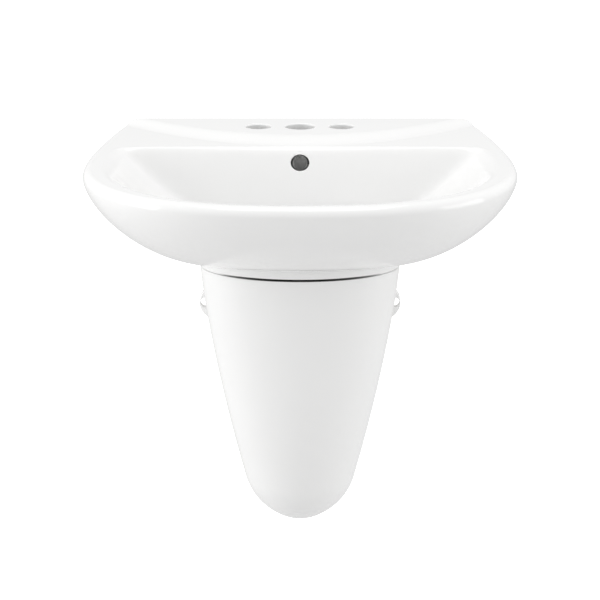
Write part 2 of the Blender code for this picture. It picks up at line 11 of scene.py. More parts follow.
import bmesh
import bpy
import numpy as np
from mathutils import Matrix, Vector


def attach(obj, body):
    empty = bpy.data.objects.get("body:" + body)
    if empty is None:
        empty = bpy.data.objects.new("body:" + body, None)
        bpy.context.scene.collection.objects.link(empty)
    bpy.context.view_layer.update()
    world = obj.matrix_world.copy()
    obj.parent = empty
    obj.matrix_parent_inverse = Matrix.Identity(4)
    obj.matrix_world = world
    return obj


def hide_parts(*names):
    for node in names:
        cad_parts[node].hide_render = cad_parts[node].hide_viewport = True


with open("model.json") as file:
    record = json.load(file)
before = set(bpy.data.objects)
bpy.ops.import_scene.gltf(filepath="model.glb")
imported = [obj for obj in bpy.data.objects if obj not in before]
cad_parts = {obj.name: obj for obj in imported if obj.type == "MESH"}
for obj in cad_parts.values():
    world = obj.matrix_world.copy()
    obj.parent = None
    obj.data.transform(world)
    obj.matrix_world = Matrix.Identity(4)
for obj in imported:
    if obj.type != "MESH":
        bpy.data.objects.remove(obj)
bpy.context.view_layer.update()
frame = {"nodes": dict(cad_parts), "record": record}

bl_info = {
    "name": "Half-pedestal washbasin",
    "version": (1, 0, 0),
    "blender": (4, 5, 0),
    "location": "3D View > Sidebar > Washbasin",
    "description": "Makes a wall-hung washbasin on a half pedestal, piece by piece",
    "category": "Add Mesh",
}

# Driving dimensions
WIDTH, DEPTH, BACK_WIDTH = 0.494, 0.447, 0.426
WIDEST = 0.226  # from the wall to the widest section
DECK_Z = 0.070  # tap deck above the wall bolts
WALL = 0.010  # ceramic thickness
DECK_THICK = 0.018  # from the tap deck to the hollow under it
FIT_GAP = 0.0003  # clearance between pieces that touch

# Rim and tap deck
RIM_POWER = 2.35  # superellipse exponent of the front half
RIM_DROP = 0.006  # rim below the tap deck
EDGE_ROUND, BACK_ROUND = 0.010, 0.003
EDGE_GROWS = 0.150  # how far from the wall the edge takes to reach its full rounding
CORNER_ROUND = 0.008  # plan radius where the sides meet the wall
LEDGE_REACH, LEDGE_HALF = 0.101, 0.197  # tap ledge: depth on the centre line, and half-width
LEDGE_FALL = 0.040  # run of the slope in front of the ledge
TAP_HOLES = ((-0.0508, 0.015), (0.0, 0.018), (0.0508, 0.015))  # x, radius
TAP_LINE = 0.053  # from the wall

# Bowl
BOWL_BACK = 0.146  # from the wall to the top of the bowl's back slope
BACK_SLOPE = 0.20  # run over fall of that slope
BOWL_HALF, BOWL_FRONT, BOWL_REAR = 0.218, 0.2015, 0.219  # semi-axes about the widest section
BOWL_DEPTH = 0.115
BOWL_MEAN = 0.21  # mean reach of the rim from the drain
SLOPE_BLEND = 14.0  # how tightly the round bowl turns into its back slope
LIP_START, LIP_ROUND = 0.955, 0.008  # where the rounded lip begins and how far out it goes
DRAIN_Y = -0.204
DRAIN_R, RECESS_R, BOSS_R = 0.023, 0.0320, 0.034
FLOOR_DROP, BOSS_DROP = 0.121, 0.160
# steps down the side of the drain's recess: out from its radius, drop
RECESS_SIDE = ((0.0006, 0.1), (0.0006, 0.1172), (-0.0002, 0.1180), (-0.0008, 0.1196), (-0.0018, 0.1207))
OVERFLOW_R, OVERFLOW_DROP = 0.011, 0.024
CHANNEL_R, DUCT_R = 0.0075, 0.0155

# Collar under the apron and the half pedestal that stands below it
COLLAR_DROP = 0.139
COLLAR_HALF, COLLAR_SIDE, COLLAR_DEPTH = 0.118, 0.178, 0.252
COLLAR_FRONT, COLLAR_BACK = 0.014, 0.004  # height of its upright band
APRON_POWER = 1.45  # superellipse exponent of the apron's fall from the rim to the collar
JOINT_END, JOINT_FADE, JOINT_CLOSES = 0.220, 0.025, 0.0014  # where the open joint ends at the sides
SHROUD_TOP, SHROUD_BOTTOM = 0.141, 0.494  # drops
SHROUD_WALL = 0.009
SHROUD_TAPER, TAPER_POWER = 0.0693, 1.26  # how much half-width it loses, and how late
SHROUD_TUCK, TUCK_POWER = 0.0834, 2.67  # how much depth it loses, and how late
SHROUD_END = 0.0752  # height of its rounded end
END_HALF, END_DEPTH = 0.08, 0.52  # shares of the half-width and the depth left at its bottom
EAR_DROP, EAR_OUT, EAR_HALF_HEIGHT, EAR_THICK = 0.238, 0.0244, 0.025, 0.010
EAR_HOLE_X, EAR_HOLE_R = 0.1207, 0.0064

# Wall bolts
BOLT_X, BOLT_R, BOLT_HOLE_R = 0.140, 0.005, 0.008
BOLT_IN_WALL, BOLT_OUT = 0.060, 0.046
BOLT_THREADS, BOLT_PITCH = 8, 0.0055
BUSH_R, BUSH_HEAD = 0.0155, 0.003
BOLT_WASHER_R, BOLT_WASHER_THICK = 0.0125, 0.002
BOLT_NUT_ACROSS, BOLT_NUT_HIGH = 0.017, 0.008

# Waste and trap
TUBE_R, TUBE_WALL = 0.0159, 0.0012
WASTE_R, WASTE_BORE = 0.0205, 0.0172
FLANGE_R, FLANGE_THICK = 0.0300, 0.0012
FLANGE_CROWN = 0.0026  # how high the flange's inner part stands
GASKET_THICK = 0.0015
SLOT_DROP = 0.141  # the overflow slots' height
LOCKNUT_ACROSS, LOCKNUT_HIGH = 0.054, 0.009
CAP_R, CAP_DOME, CAP_FOOT_R = 0.0262, 0.0030, 0.0175
STOPPER_TRAVEL = 0.009
TRAP_RADIUS = 0.038
TRAP_DROP = 0.300  # height of the trap bend's centre
ARM_DROP = 0.224  # height of the trap arm's centre line
HUB_R, HUB_WALL = 0.0190, 0.0022
HUB_IN_DROP, HUB_OUT_DROP = 0.262, 0.278  # tops of the bend's two hubs
PLUG_SEAT_R, PLUG_R, PLUG_HOLE_R = 0.0100, 0.0059, 0.0062
COVER_R, COVER_DEEP = 0.037, 0.012
SLIP_NUT_R, SLIP_NUT_SKIRT, SLIP_NUT_ROOF = 0.0218, 0.014, 0.0022

INTO_WALL, OUT_OF_WALL = (-math.pi / 2, 0, 0), (math.pi / 2, 0, 0)  # turns that point +Z along Y
STEPS = 96  # around a turned piece
BASIN_STEPS = (72, 56, 200)  # points of its plan outline: along the back, down a side, round the front
HOLLOW_STEPS = (14, 8, 68)
TAP_EDGE, BOLT_EDGE, EAR_EDGE = 0.0022, 0.001, 0.0008  # rounding at the mouths of the holes

# Stage
FLOOR_Z = DECK_Z - 0.85  # the deck stands 0.85 m above the floor
FLOOR_R = 16.0
LIGHTS_AIM = Vector((0, -0.2, -0.05))
SIDE_BOX_SIZE, SIDE_BOX_OUT = 1.4, 2.2
TOP_BOX_SIZE, TOP_BOX_UP = 1.6, 2.2


def z_at(drop):
    return DECK_Z - drop


# ---------------------------------------------------------------- settings

def colour(name, description, default):
    return bpy.props.FloatVectorProperty(
        name=name, description=description, subtype="COLOR", size=3, min=0.0, max=1.0, default=default
    )


def share(name, description, default):
    return bpy.props.FloatProperty(
        name=name, description=description, subtype="FACTOR", min=0.0, max=1.0, default=default
    )


def length(name, description, default):
    return bpy.props.FloatProperty(
        name=name, description=description, subtype="DISTANCE", unit="LENGTH", min=0.0, default=default
    )


def watts(name, description, default):
    return bpy.props.FloatProperty(name=name, description=description, min=0.0, default=default)


class ChinaSettings(bpy.types.PropertyGroup):
    """What the glazed china looks like"""

    glaze: colour("Glaze", "Colour of the glaze", (0.885, 0.885, 0.88))
    clay: colour("Bare clay", "Colour of the clay where the glaze stops", (0.78, 0.74, 0.67))
    roughness: share("Glaze roughness", "How much the glaze blurs a reflection", 0.09)
    ripple: length("Ripple", "Height of the waves in the glaze", 0.00005)
    glaze_stop: length("Glaze stop", "How far from the wall the glaze stops", 0.0016)
    # painted shadow: a near-black colour painted on the faces in the gap between the collar and the
    # pedestal, standing in for the shadow in that gap
    joint: colour("Joint", "Colour of the unglazed joint over the pedestal", (0.08, 0.08, 0.075))
    # painted shade: the grey inside the overflow and the near-black ring by its wall stand in for the shade
    # in the hole
    throat: colour("Overflow throat", "Colour inside the overflow", (0.82, 0.82, 0.81))
    throat_ring: colour("Overflow ring", "Colour of the ring in the overflow", (0.10, 0.10, 0.10))


class FittingSettings(bpy.types.PropertyGroup):
    """Colours of the metal, rubber and nylon fittings"""

    chrome: colour("Chrome", "Colour of the chrome plate", (0.80, 0.80, 0.82))
    brass: colour("Brass", "Colour of the bare brass", (0.72, 0.55, 0.27))
    zinc: colour("Zinc", "Colour of the zinc-plated steel", (0.62, 0.63, 0.65))
    spring: colour("Spring", "Colour of the spring wire", (0.55, 0.56, 0.58))
    rubber: colour("Rubber", "Colour of the seals", (0.03, 0.03, 0.03))
    nylon: colour("Nylon", "Colour of the bushes and washers", (0.82, 0.81, 0.77))
    edge: length("Edge", "Width of the rounded edges", 0.0004)


class StageSettings(bpy.types.PropertyGroup):
    """The floor, the lights and the camera"""

    floor: colour("Floor", "Colour that the floor sends back up", (0.72, 0.72, 0.72))
    sky: share("Sky", "Strength of the light from all round", 0.76)
    key: watts("Key", "Left soft box, in watts", 21.5)
    fill: watts("Fill", "Right soft box, in watts", 13.0)
    top: watts("Top", "Overhead soft box, in watts", 17.0)
    distance: length("Camera distance", "From the wall to the camera, level", 2.532)
    height: length("Camera height", "Camera above the wall bolts", 0.5835)
    pitch: bpy.props.FloatProperty(
        name="Pitch", description="How far the camera looks down", subtype="ANGLE",
        default=math.radians(16.52)
    )
    lens: bpy.props.FloatProperty(
        name="Lens", description="Focal length", subtype="DISTANCE_CAMERA", default=123.7, min=1.0
    )


# ---------------------------------------------------------------- shapes

def from_bmesh(name, bm, mat=None, location=(0, 0, 0), rotation=(0, 0, 0)):
    """A piece when it has a material, and otherwise a cutter."""
    bmesh.ops.recalc_face_normals(bm, faces=bm.faces)
    mesh = bpy.data.meshes.new(name)
    bm.to_mesh(mesh)
    bm.free()
    if mat:
        mesh.materials.append(mat)
    obj = bpy.data.objects.new(name, mesh)
    obj.location = location
    obj.rotation_euler = rotation
    bpy.context.scene.collection.objects.link(obj)
    return obj


def bake(obj):
    """The object's modifiers, place and turn worked into its mesh."""
    graph = bpy.context.evaluated_depsgraph_get()
    graph.update()
    made = bpy.data.meshes.new_from_object(obj.evaluated_get(graph))
    made.transform(obj.matrix_basis)
    old = obj.data
    obj.modifiers.clear()
    obj.data = made
    bpy.data.meshes.remove(old)
    obj.location = obj.rotation_euler = (0, 0, 0)


def carve(obj, steps):
    """Works each (operation, cutter) into the object in turn, and removes the cutters."""
    for operation, cutter in steps:
        modifier = obj.modifiers.new(operation.title() + " " + cutter.name, "BOOLEAN")
        modifier.operation = operation
        modifier.object = cutter
        modifier.solver = "MANIFOLD"
    bake(obj)
    for _, cutter in steps:
        mesh = cutter.data
        bpy.data.objects.remove(cutter)
        bpy.data.meshes.remove(mesh)


def smooth(obj, angle=32):
    """Smooth shading, with an edge kept sharp where its faces meet at more than this many degrees."""
    mesh = obj.data
    mesh.polygons.foreach_set("use_smooth", [True] * len(mesh.polygons))
    mesh.set_sharp_from_angle(angle=math.radians(angle))


def soften(obj, width, segments=3, angle=40):
    """Rounds the edges that are sharper than angle, and works the rounding into the mesh."""
    bevel = obj.modifiers.new("Soft edges", "BEVEL")
    bevel.width = width
    bevel.segments = segments
    bevel.limit_method = "ANGLE"
    bevel.angle_limit = math.radians(angle)
    bevel.harden_normals = False
    bake(obj)


def turned(name, profile, mat=None, location=(0, 0, 0), rotation=(0, 0, 0), closed=False, steps=STEPS):
    """A profile of (radius, height) turned about Z: outer side top to bottom. closed makes it a ring."""
    bm = bmesh.new()
    rows = []
    for r, z in profile:
        if r < 1e-7:
            rows.append([bm.verts.new((0, 0, z))])
            continue
        turns = [2 * math.pi * i / steps for i in range(steps)]
        rows.append([bm.verts.new((r * math.cos(a), r * math.sin(a), z)) for a in turns])
    pairs = list(zip(rows, rows[1:]))
    if closed:
        pairs.append((rows[-1], rows[0]))
    for one, two in pairs:
        for i in range(steps):
            j = (i + 1) % steps
            corners = [one[i % len(one)], two[i % len(two)], two[j % len(two)], one[j % len(one)]]
            corners = list(dict.fromkeys(corners))
            if len(corners) > 2:
                bm.faces.new(corners)
    return from_bmesh(name, bm, mat, location, rotation)


def cylinder(name, radius, depth, location, axis="Z", mat=None, segments=64):
    bm = bmesh.new()
    bmesh.ops.create_cone(
        bm, cap_ends=True, segments=segments, radius1=radius, radius2=radius, depth=depth
    )
    turn = math.pi / 2 if axis == "Y" else 0
    return from_bmesh(name, bm, mat, location, (turn, 0, 0))


def flared(name, radius, surface, flare, deep, location=(0, 0, 0), rotation=(0, 0, 0)):
    """A cutter for a round hole whose edge at height surface is rounded by flare."""
    above = surface + 0.004
    rim = radius + flare * 1.02
    profile = [(0, above), (rim, above), (rim, surface)]
    for turn in range(80, -1, -10):
        a = math.radians(turn)
        profile.append((radius + flare * (1 - math.cos(a)), surface - flare * (1 - math.sin(a))))
    profile += [(radius, surface - deep), (0, surface - deep)]
    return turned(name, profile, None, location, rotation, steps=72)


def box(name, size, location, rotation=(0, 0, 0)):
    bm = bmesh.new()
    bmesh.ops.create_cube(bm, size=1.0)
    bmesh.ops.scale(bm, vec=size, verts=bm.verts)
    return from_bmesh(name, bm, None, location, rotation)


def rod(name, points, radius, mat=None, around=8):
    """A mesh made from a bevelled curve with filled caps."""
    curve = bpy.data.curves.new(name + "_curve", "CURVE")
    curve.dimensions = "3D"
    curve.bevel_depth = radius
    curve.bevel_resolution = around
    curve.use_fill_caps = True
    spline = curve.splines.new("POLY")
    spline.points.add(len(points) - 1)
    for point, place in zip(spline.points, points):
        point.co = (*place, 1.0)
    guide = bpy.data.objects.new(name + "_curve", curve)
    bpy.context.scene.collection.objects.link(guide)
    bpy.context.view_layer.update()
    graph = bpy.context.evaluated_depsgraph_get()
    mesh = bpy.data.meshes.new_from_object(guide.evaluated_get(graph))
    bpy.data.objects.remove(guide)
    bm = bmesh.new()
    bm.from_mesh(mesh)
    bpy.data.meshes.remove(mesh)
    bmesh.ops.remove_doubles(bm, verts=bm.verts, dist=0.00001)
    return from_bmesh(name, bm, mat)


def tube(name, points, radius, wall, mat):
    obj = rod(name, points, radius, mat)
    carve(obj, [("DIFFERENCE", rod(name + "_bore", lengthened(points, 0.01), radius - wall))])
    return obj


def hex_nut(name, across, height, bore, location, axis, mat):
    """A six-sided nut with its bore, centred on location."""
    obj = cylinder(name, across / 2 / math.cos(math.pi / 6), height, location, axis, mat, 6)
    bake(obj)
    carve(obj, [("DIFFERENCE", cylinder(name + "_bore", bore, height * 2, location, axis))])
    return obj


def lengthened(points, by):
    """The same path run on past both of its ends."""
    first, second, before, last = (Vector(points[i]) for i in (0, 1, -2, -1))
    start = first + (first - second).normalized() * by
    end = last + (last - before).normalized() * by
    return [start, *points, end]


def arc_yz(centre_y, centre_z, radius, start, end, count=10):
    """Points of an arc in the plane x = 0, with angles in degrees from +Y towards +Z."""
    angles = np.radians(np.linspace(start, end, count))
    return [(0.0, centre_y + radius * math.cos(a), centre_z + radius * math.sin(a)) for a in angles]


def loft(name, rings, mat=None):
    """A closed body through rings with the same number of points, capped at both ends."""
    bm = bmesh.new()
    rows = [[bm.verts.new(point) for point in ring_points] for ring_points in rings]
    for lower, upper in zip(rows, rows[1:]):
        for i in range(len(lower)):
            j = (i + 1) % len(lower)
            bm.faces.new((lower[i], lower[j], upper[j], upper[i]))
    caps = [bm.faces.new(rows[0][::-1]), bm.faces.new(rows[-1])]
    bmesh.ops.triangulate(bm, faces=caps)
    return from_bmesh(name, bm, mat)


def stands_for(obj, node, body="fixed"):
    """Puts the piece in the place of its CAD node."""
    obj.name = "finished_" + node
    smooth(obj)
    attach(obj, body)
    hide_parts(node)
    return obj


# ---------------------------------------------------------------- basin

def plan_outline(back_half, half, widest, depth, power, counts, corner=0.0):
    """A D in plan, from the left wall corner along the wall and round the front, as an array of x, y."""
    back, side, front = counts

    def flank(t):
        return np.array((back_half + (half - back_half) * math.sin(math.pi / 2 * t), -widest * t))

    start = corner / widest
    right = []
    if corner:
        here, edge, there = np.array((back_half - corner, 0)), np.array((back_half, 0)), flank(start)
        for t in np.linspace(0, 1, 7)[:-1]:
            right.append((1 - t) ** 2 * here + 2 * t * (1 - t) * edge + t * t * there)
    right += [flank(t) for t in start + (1 - start) * np.linspace(0, 1, side, endpoint=False)]
    left = [point * (-1, 1) for point in right[::-1]]
    stop = -back_half + corner
    if corner:
        middle = [(x, 0.0) for x in np.linspace(stop, -stop, back + 1)[1:-1]]
    else:
        left = left[:-1]
        middle = [(x, 0.0) for x in np.linspace(-back_half, back_half, back, endpoint=False)]
    points = middle + right
    for t in np.linspace(0, math.pi, front + 1):
        c, s = math.cos(t), math.sin(t)
        x = half * math.copysign(abs(c) ** (2 / power), c)
        points.append((x, -widest - (depth - widest) * abs(s) ** (2 / power)))
    return np.array(points + left)


def inward(outline):
    """The unit normal at each point of a plan outline, pointing to its inside."""
    along = np.roll(outline, -1, axis=0) - np.roll(outline, 1, axis=0)
    normal = np.stack([along[:, 1], -along[:, 0]], axis=1)
    return normal / np.linalg.norm(normal, axis=1, keepdims=True)


def ease(t):
    t = np.clip(t, 0.0, 1.0)
    return t * t * (3 - 2 * t)


def ledge_height(plan):
    """Height of the top face at each point: 0 on the tap ledge, falling to the rim in front of it."""
    bow = -LEDGE_REACH * (1 - (plan[:, 0] / LEDGE_HALF) ** 2)
    return -RIM_DROP * ease((bow - plan[:, 1]) / LEDGE_FALL)


def bowl_reach(directions):
    """Distance from the drain, in each plan direction, to the superellipse that bounds the bowl."""
    low, high = np.zeros(len(directions)), np.full(len(directions), 0.6)
    for _ in range(40):
        reach = (low + high) / 2
        x = directions[:, 0] * reach
        y = DRAIN_Y + directions[:, 1] * reach + WIDEST
        semi = np.where(y > 0, BOWL_REAR, BOWL_FRONT)
        inside = (np.abs(x) / BOWL_HALF) ** RIM_POWER + (np.abs(y) / semi) ** RIM_POWER < 1
        low, high = np.where(inside, reach, low), np.where(inside, high, reach)
    return low


def bowl_level(directions, reach, part):
    """(radii, drop) of the bowl where its round part has shrunk to this part of its rim."""
    drop = RIM_DROP + BOWL_DEPTH * (1 - part * part)
    radius = reach * part
    slope_y = -BOWL_BACK - BACK_SLOPE * (drop - RIM_DROP)
    rearward = directions[:, 1] > 0.02
    flat = (slope_y - DRAIN_Y) / np.where(rearward, directions[:, 1], 1.0)
    flat = np.where(rearward, flat, 10.0)
    return (radius ** -SLOPE_BLEND + flat ** -SLOPE_BLEND) ** (-1 / SLOPE_BLEND), drop


def from_drain(directions, radii, heights):
    plan = np.array([0.0, DRAIN_Y]) + directions * np.reshape(radii, (-1, 1))
    return np.column_stack([plan, np.broadcast_to(heights, len(plan))])


def bowl_rings(directions, reach, parts):
    """Rings down the bowl from its lip to the edge of the drain's recess."""
    rings = []
    for part in parts:
        radii, drop = bowl_level(directions, reach, part)
        rings.append(from_drain(directions, radii, z_at(drop)))
    floor = RIM_DROP + BOWL_DEPTH * (1 - (RECESS_R / BOWL_MEAN) ** 2)
    rings.append(from_drain(directions, np.full(len(directions), RECESS_R), z_at(floor)))
    return np.array(rings)


def lip_rings(directions, reach, count):
    """Rings over the rounded lip, from the bowl's side to the flat rim and tangent to both."""
    below, drop = bowl_level(directions, reach, LIP_START)
    edge, _ = bowl_level(directions, reach, 1.0)
    rings = []
    for t in np.linspace(0, 1, count + 1)[1:]:
        near, middle, far = (1 - t) ** 2, 2 * t * (1 - t), t * t
        radii = near * below + middle * edge + far * (edge + LIP_ROUND)
        ring_points = from_drain(directions, radii, 0.0)
        rim = far * ledge_height(ring_points[:, :2]) - middle * RIM_DROP
        ring_points[:, 2] = z_at(near * drop) + rim
        rings.append(ring_points)
    return rings


def collar_band(foot):
    """Height of the collar's upright band at each point of its outline."""
    forward = np.clip((-foot[:, 1] - COLLAR_SIDE) / (COLLAR_DEPTH - COLLAR_SIDE), 0, 1)
    return COLLAR_BACK + (COLLAR_FRONT - COLLAR_BACK) * forward


def apron_rings(rim, foot, start_drop, count):
    """Rings from the rim's edge in to the collar, along quarter superellipses."""
    band = collar_band(foot)
    rings = []
    for t in np.linspace(0, math.pi / 2, count):
        out, down = abs(math.cos(t)) ** (2 / APRON_POWER), math.sin(t) ** (2 / APRON_POWER)
        plan = foot + (rim - foot) * out
        drops = start_drop + (COLLAR_DROP - band - start_drop) * down
        rings.append(np.column_stack([plan, z_at(drops)]))
    return rings


def surface_normals(rings):
    """Unit normals of a grid of rings, by central differences."""
    around = np.roll(rings, -1, axis=1) - np.roll(rings, 1, axis=1)
    down = np.gradient(rings, axis=0)
    normal = np.cross(around, down)
    return normal / np.linalg.norm(normal, axis=2, keepdims=True)


def at_height(plan, z):
    return np.column_stack([plan, np.full(len(plan), z)])


def outlines(counts, corner=0.0):
    """The rim, the collar and the plan directions from the drain to the rim."""
    rim = plan_outline(BACK_WIDTH / 2, WIDTH / 2, WIDEST, DEPTH, RIM_POWER, counts, corner)
    foot = plan_outline(COLLAR_HALF, COLLAR_HALF, COLLAR_SIDE, COLLAR_DEPTH, 2.0, counts, corner)
    away = rim - np.array([0.0, DRAIN_Y])
    return rim, foot, away / np.linalg.norm(away, axis=1, keepdims=True)


def make_basin(mat):
    rim, foot, directions = outlines(BASIN_STEPS, CORNER_ROUND)
    reach = bowl_reach(directions)
    normal = inward(rim)
    rounding = BACK_ROUND + (EDGE_ROUND - BACK_ROUND) * ease(-rim[:, 1] / EDGE_GROWS)[:, None]

    rings = list(bowl_rings(directions, reach, np.linspace(LIP_START, 0.2, 44))[::-1])
    rings += lip_rings(directions, reach, 12)
    inner, outer = rings[-1][:, :2], rim + normal * rounding
    for t in np.linspace(0, 1, 31)[1:]:
        plan = inner + (outer - inner) * t
        rings.append(np.column_stack([plan, z_at(0) + ledge_height(plan)]))
    for turn in np.radians(np.linspace(0, 90, 11))[1:]:
        plan = rim + normal * rounding * (1 - math.sin(turn))
        fall = (rounding * (1 - math.cos(turn)))[:, 0]
        rings.append(np.column_stack([plan, z_at(fall) + ledge_height(plan)]))
    apron = apron_rings(rim, foot, RIM_DROP + EDGE_ROUND, 40)
    rings += blended_collar(apron[1:], foot)
    basin = loft("finished_basin", rings, mat)

    boss_top = z_at(FLOOR_DROP)
    boss_mid = (boss_top + z_at(BOSS_DROP)) / 2
    recess = [(0, z_at(0.1)), *((RECESS_R + out, z_at(drop)) for out, drop in RECESS_SIDE)]
    recess += [(RECESS_R - 0.0034, boss_top), (0, boss_top)]
    steps = [
        ("DIFFERENCE", make_hollow()),
        ("UNION", rod("overflow_duct", channel_path()[3:-3], DUCT_R)),
        ("UNION", cylinder("drain_boss", BOSS_R, boss_top - z_at(BOSS_DROP), (0, DRAIN_Y, boss_mid))),
        ("DIFFERENCE", turned("drain_recess", recess, None, (0, DRAIN_Y, 0))),
        ("DIFFERENCE", cylinder("drain_hole", DRAIN_R, 0.12, (0, DRAIN_Y, boss_mid))),
        ("DIFFERENCE", rod("overflow_channel", channel_path(), CHANNEL_R)),
        ("DIFFERENCE", overflow_mouth()),
    ]
    for i, (x, radius) in enumerate(TAP_HOLES):
        place = (x, -TAP_LINE, DECK_Z)
        steps.append(("DIFFERENCE", flared("tap_hole_" + str(i), radius, 0, TAP_EDGE, 0.030, place)))
    for side in (-1, 1):
        place = (side * BOLT_X, 0, 0)
        cutter = flared("bolt_hole_" + str(side), BOLT_HOLE_R, 0, BOLT_EDGE, 0.025, place, INTO_WALL)
        steps.append(("DIFFERENCE", cutter))
    carve(basin, steps)
    return stands_for(basin, "basin")


def blended_collar(apron, foot):
    """The apron's rings run into the collar's upright band with a small fillet, and on down to its foot."""
    fillet = 0.004
    last, before = apron[-1], apron[-2]
    out = last - before
    out /= np.linalg.norm(out, axis=1, keepdims=True)
    rings = [r for r in apron if np.linalg.norm(r - last, axis=1).min() > fillet]
    start = last - out * fillet
    stop = last + np.array([0, 0, -1.0]) * np.minimum(fillet, collar_band(foot) * 0.5)[:, None]
    for t in np.linspace(0, 1, 8):
        rings.append((1 - t) ** 2 * start + 2 * t * (1 - t) * last + t * t * stop)
    edge = 0.0010
    low = z_at(COLLAR_DROP) - JOINT_CLOSES * (1 - ease((-foot[:, 1] - JOINT_END) / JOINT_FADE))
    rings.append(np.column_stack([foot, low + edge]))
    normal = inward(foot)
    for turn in np.radians((30, 60, 90)):
        plan = foot + normal * edge * (1 - math.cos(turn))
        plan[:, 1] = np.minimum(plan[:, 1], 0)
        rings.append(np.column_stack([plan, low + edge * (1 - math.sin(turn))]))
    return rings


def make_hollow():
    """The space inside the casting: the apron's inner face less the backed bowl, open underneath."""
    rim, foot, directions = outlines(HOLLOW_STEPS)
    reach = bowl_reach(directions)
    apron = np.array(apron_rings(rim, foot, RIM_DROP + EDGE_ROUND, 16))
    bowl = bowl_rings(directions, reach, np.linspace(LIP_START, 0.3, 14))
    inner = apron - surface_normals(apron) * WALL
    inner[:, :, 1] = np.minimum(inner[:, :, 1], -WALL)
    inner[0, :, 2] = z_at(DECK_THICK)
    collar = foot + inward(foot) * WALL
    rings = [*inner[:-1], at_height(collar, z_at(COLLAR_DROP - COLLAR_FRONT))]
    rings.append(at_height(collar, z_at(COLLAR_DROP + 0.01)))
    hollow = loft("hollow", rings)
    backing = bowl + surface_normals(bowl) * WALL
    top = bowl[0].copy()
    top[:, :2] = backing[0][:, :2]
    top[:, 2] = z_at(-0.01)
    carve(hollow, [("DIFFERENCE", loft("bowl_backing", [top, *backing]))])
    return hollow


def channel_path():
    """The overflow channel: in at the bowl's back slope, down behind it and forward to the drain."""
    steps = ((0.147, 0.024), (0.134, 0.028), (0.129, 0.042), (0.132, 0.070), (0.141, 0.100),
             (0.155, 0.125), (0.168, 0.138), (0.181, 0.141), (0.195, 0.141))
    return rounded([(0.0, -y, z_at(drop)) for y, drop in steps], 3)


def rounded(points, passes):
    """The path with its corners cut again and again, so that it bends smoothly."""
    path = np.array(points)
    for _ in range(passes):
        ahead = path[:-1] * 0.75 + path[1:] * 0.25
        behind = path[:-1] * 0.25 + path[1:] * 0.75
        middle = np.stack([ahead, behind], axis=1).reshape(-1, 3)
        path = np.vstack([path[:1], middle[1:-1], path[-1:]])
    return [tuple(point) for point in path]


def overflow_mouth():
    """The round hole square to the bowl's back slope, with a rounded edge."""
    y = -BOWL_BACK - BACK_SLOPE * (OVERFLOW_DROP - RIM_DROP)
    square = (math.pi / 2 - math.atan(BACK_SLOPE), 0, 0)
    mouth = flared("overflow_mouth", OVERFLOW_R, 0, 0.0012, 0.013, (0, y, z_at(OVERFLOW_DROP)), square)
    mouth.scale.y = 0.88  # a little wider than it is tall
    return mouth


# ---------------------------------------------------------------- half pedestal

def shroud_section(drop, inset=0.0, counts=(24, 16, 120)):
    """Plan outline of the half pedestal at this drop, moved in by inset."""
    t = (drop - SHROUD_TOP) / (SHROUD_BOTTOM - SHROUD_TOP)
    half = COLLAR_HALF - SHROUD_TAPER * t ** TAPER_POWER
    depth = COLLAR_DEPTH - SHROUD_TUCK * t ** TUCK_POWER
    end = min(max((drop - SHROUD_BOTTOM + SHROUD_END) / SHROUD_END, 0.0), 1.0)
    left = math.sqrt(1 - end * end)
    half = half * (END_HALF + (1 - END_HALF) * left) - inset
    depth = depth * (END_DEPTH + (1 - END_DEPTH) * left) - inset
    side = depth * COLLAR_SIDE / COLLAR_DEPTH
    return plan_outline(half, half, side, depth, 2.0, counts)


def make_half_pedestal(mat):
    straight = np.linspace(SHROUD_TOP, SHROUD_BOTTOM - SHROUD_END, 60)
    end = SHROUD_BOTTOM - SHROUD_END * (1 - np.sin(np.linspace(0, math.pi / 2, 25)[1:]))
    drops = np.concatenate([straight, end])
    edge = 0.0012
    rings = []
    for turn in np.radians((90, 67.5, 45, 22.5)):
        section = shroud_section(SHROUD_TOP, edge * (1 - math.cos(turn)))
        rings.append(at_height(section, z_at(SHROUD_TOP + edge * (1 - math.sin(turn)))))
    rings += [at_height(shroud_section(drop), z_at(drop)) for drop in drops if drop > SHROUD_TOP + edge]
    pedestal = loft("finished_half_pedestal", rings, mat)
    inside = []
    for drop in drops[::2]:
        section = shroud_section(drop, SHROUD_WALL)
        if section[0, 0] > -0.004:  # too narrow to hollow out
            break
        section[section[:, 1] > -0.0001, 1] = 0.02
        inside.append(at_height(section, z_at(drop) + SHROUD_WALL))
    steps = [("UNION", make_ear(side)) for side in (-1, 1)]
    steps.append(("DIFFERENCE", loft("pedestal_inside", inside)))
    for side in (-1, 1):
        place = (side * EAR_HOLE_X, -EAR_THICK, z_at(EAR_DROP))
        cutter = flared("ear_hole_" + str(side), EAR_HOLE_R, 0, EAR_EDGE, 0.02, place, OUT_OF_WALL)
        steps.append(("DIFFERENCE", cutter))
    carve(pedestal, steps)
    return stands_for(pedestal, "half_pedestal")


def make_ear(side):
    """A flat fixing ear against the wall: a half ellipse standing out of the pedestal's side."""
    root = shroud_section(EAR_DROP)[:, 0].max() - 0.004
    out, high, edge = EAR_OUT + 0.004, EAR_HALF_HEIGHT, 0.0025
    rings = []
    for y, less in ((0, 0.0), (EAR_THICK - edge, 0.0), (EAR_THICK - edge * 0.38, edge * 0.1),
                    (EAR_THICK - edge * 0.1, edge * 0.4), (EAR_THICK, edge)):
        turns = np.linspace(0, 2 * math.pi, 72, endpoint=False)
        x = side * root + (out - less) * np.cos(turns)
        rings.append(np.column_stack([x, np.full(72, -y), z_at(EAR_DROP) + (high - less) * np.sin(turns)]))
    return loft("ear_" + str(side), rings)


# ---------------------------------------------------------------- waste

def fitting(obj, node, body="fixed"):
    """A metal fitting with its edges softened, in the place of its CAD node."""
    soften(obj, bpy.context.scene.washbasin_fittings.edge)
    return stands_for(obj, node, body)


